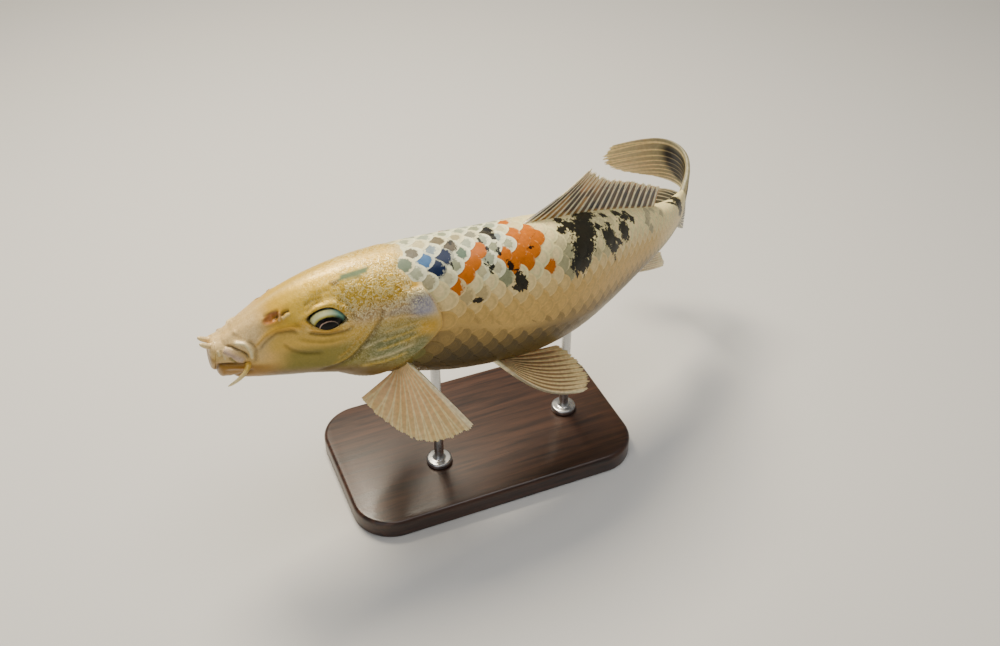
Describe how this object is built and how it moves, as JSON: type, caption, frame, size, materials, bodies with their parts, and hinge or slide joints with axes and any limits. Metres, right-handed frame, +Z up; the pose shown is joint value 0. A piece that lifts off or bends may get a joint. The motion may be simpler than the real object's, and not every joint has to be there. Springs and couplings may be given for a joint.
{
  "type": "koi carp display model",
  "caption": "Still, life-size koi carp in a turning swim, with spread fins and a curled tail, held on two rods over a flat base.",
  "frame": {"origin": "centre of the underside of the stand's base", "axes": "+Z up, the head points along -X, the fish's left flank faces -Y and its tail swings toward +Y"},
  "size_m": [0.4172, 0.2278, 0.2246],
  "materials": {
    "skin": "wet scaled skin, cream and peach with black, orange and grey marks",
    "lips": "smooth soft skin of the mouth and feelers",
    "gill_bone": "golden, wrinkled skin over the bone of the gill cover",
    "eye": "clear polished eye with a pale metallic rim",
    "fin": "thin web on pale rays, with dark streaks",
    "stand_wood": "dark stained, satin",
    "stand_steel": "brushed"
  },
  "bodies": {
    "root": {"head": "skin", "trunk_front": "skin", "trunk_rear": "skin", "tail_peduncle": "skin", "upper_jaw": "lips", "lower_jaw": "lips", "barbel_front_left": "lips", "barbel_front_right": "lips", "barbel_rear_left": "lips", "barbel_rear_right": "lips", "gill_cover_left": "gill_bone", "gill_cover_right": "gill_bone", "eye_left": "eye", "eye_right": "eye", "dorsal_fin": "fin", "anal_fin": "fin", "caudal_fin_upper": "fin", "caudal_fin_lower": "fin", "pectoral_fin_left": "fin", "pectoral_fin_right": "fin", "pelvic_fin_left": "fin", "pelvic_fin_right": "fin", "stand_base": "stand_wood", "stand_rod_front": "stand_steel", "stand_rod_rear": "stand_steel"}
  },
  "joints": []
}
